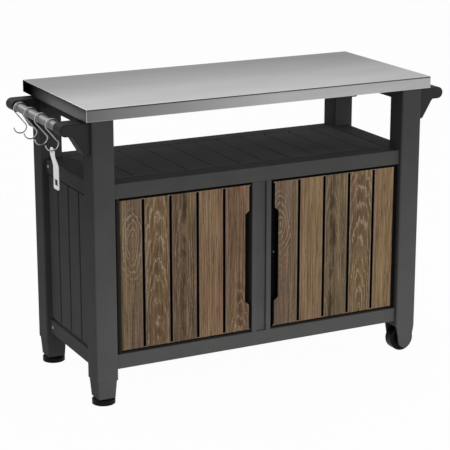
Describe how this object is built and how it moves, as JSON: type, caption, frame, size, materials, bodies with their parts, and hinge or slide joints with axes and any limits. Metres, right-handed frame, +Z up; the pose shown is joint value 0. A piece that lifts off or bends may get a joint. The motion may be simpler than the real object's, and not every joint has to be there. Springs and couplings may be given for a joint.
{
  "type": "grill cart with storage",
  "caption": "Outdoor serving cart with a folded steel table top, open shelf, wood-look cupboard doors, side bars with hanging hooks, and wheels at the right end.",
  "frame": {"origin": "on the floor, under the middle of the overall box", "axes": "+X along the cart to its wheeled end, -Y is the front with the doors, +Z is up"},
  "size_m": [1.2876, 0.515, 0.9],
  "materials": {
    "top_steel": "satin",
    "frame_plastic": "fine matte texture",
    "wood_look_plastic": "wood-look grain",
    "black_plastic": "matte",
    "bar_steel": "satin",
    "wire_steel": "bright",
    "opener_steel": "bright",
    "fixing_steel": "dark, satin"
  },
  "bodies": {
    "cart": {"tabletop_sheet": "top_steel", "tabletop_core": "frame_plastic", "front_left_leg": "frame_plastic", "front_right_leg": "frame_plastic", "front_axle": "fixing_steel", "front_left_bracket": "frame_plastic", "front_right_bracket": "frame_plastic", "back_left_leg": "frame_plastic", "back_right_leg": "frame_plastic", "back_axle": "fixing_steel", "back_left_bracket": "frame_plastic", "back_right_bracket": "frame_plastic", "front_upper_rail": "frame_plastic", "front_lower_rail": "frame_plastic", "back_upper_rail": "frame_plastic", "back_lower_rail": "frame_plastic", "shelf_deck": "frame_plastic", "floor_deck": "frame_plastic", "back_panel": "frame_plastic", "centre_post": "frame_plastic", "door_stop": "frame_plastic", "left_upper_side_rail": "frame_plastic", "left_lower_side_rail": "frame_plastic", "left_side_beam": "frame_plastic", "left_side_panel": "frame_plastic", "left_side_rail_screws": "fixing_steel", "left_door_catch": "black_plastic", "left_handle_bar": "bar_steel", "right_upper_side_rail": "frame_plastic", "right_lower_side_rail": "frame_plastic", "right_side_beam": "frame_plastic", "right_side_panel": "frame_plastic", "right_side_rail_screws": "fixing_steel", "right_door_catch": "black_plastic", "right_handle_bar": "bar_steel"},
    "left_door": {"left_door_panel": "black_plastic", "left_door_front": "wood_look_plastic", "left_hinge_pins": "fixing_steel", "left_strike_plate": "fixing_steel", "left_pull_screw": "fixing_steel"},
    "right_door": {"right_door_panel": "black_plastic", "right_door_front": "wood_look_plastic", "right_hinge_pins": "fixing_steel", "right_strike_plate": "fixing_steel", "right_pull_screw": "fixing_steel"},
    "front_wheel": {"front_wheel": "black_plastic"},
    "back_wheel": {"back_wheel": "black_plastic"},
    "front_foot": {"front_levelling_foot": "black_plastic"},
    "back_foot": {"back_levelling_foot": "black_plastic"},
    "opener": {"bottle_opener": "opener_steel"},
    "hook_1": {"hook_1": "wire_steel"},
    "hook_2": {"hook_2": "wire_steel"},
    "hook_3": {"hook_3": "wire_steel"},
    "hook_4": {"hook_4": "wire_steel"}
  },
  "joints": [
    {"name": "left_door_hinge", "type": "hinge", "parent": "cart", "child": "left_door", "pos_m": [-0.4695, -0.2187, 0.39], "axis": [0, 0, -1], "range_deg": [0, 95]},
    {"name": "right_door_hinge", "type": "hinge", "parent": "cart", "child": "right_door", "pos_m": [0.4695, -0.2187, 0.39], "axis": [0, 0, 1], "range_deg": [0, 95]},
    {"name": "front_wheel_turn", "type": "hinge", "parent": "cart", "child": "front_wheel", "pos_m": [0.5178, -0.20475, 0.041], "axis": [0, 1, 0], "continuous": true},
    {"name": "back_wheel_turn", "type": "hinge", "parent": "cart", "child": "back_wheel", "pos_m": [0.5178, 0.20475, 0.041], "axis": [0, 1, 0], "continuous": true},
    {"name": "front_foot_turn", "type": "hinge", "parent": "cart", "child": "front_foot", "pos_m": [-0.5178, -0.20475, 0.01], "axis": [0, 0, 1], "continuous": true},
    {"name": "back_foot_turn", "type": "hinge", "parent": "cart", "child": "back_foot", "pos_m": [-0.5178, 0.20475, 0.01], "axis": [0, 0, 1], "continuous": true},
    {"name": "hook_1_swing", "type": "hinge", "parent": "cart", "child": "hook_1", "pos_m": [-0.6233, -0.117, 0.837], "axis": [0, 1, 0], "range_deg": [-15, 60]},
    {"name": "hook_2_swing", "type": "hinge", "parent": "cart", "child": "hook_2", "pos_m": [-0.6233, -0.0287, 0.837], "axis": [0, 1, 0], "range_deg": [-60, 60]},
    {"name": "hook_3_swing", "type": "hinge", "parent": "cart", "child": "hook_3", "pos_m": [-0.6233, 0.0596, 0.837], "axis": [0, 1, 0], "range_deg": [-60, 60]},
    {"name": "hook_4_swing", "type": "hinge", "parent": "cart", "child": "hook_4", "pos_m": [-0.6233, 0.1479, 0.837], "axis": [0, 1, 0], "range_deg": [-60, 60]},
    {"name": "opener_swing", "type": "hinge", "parent": "hook_1", "child": "opener", "pos_m": [-0.6245, -0.117, 0.7599], "axis": [1, 0, 0], "range_deg": [-35, 35]}
  ]
}
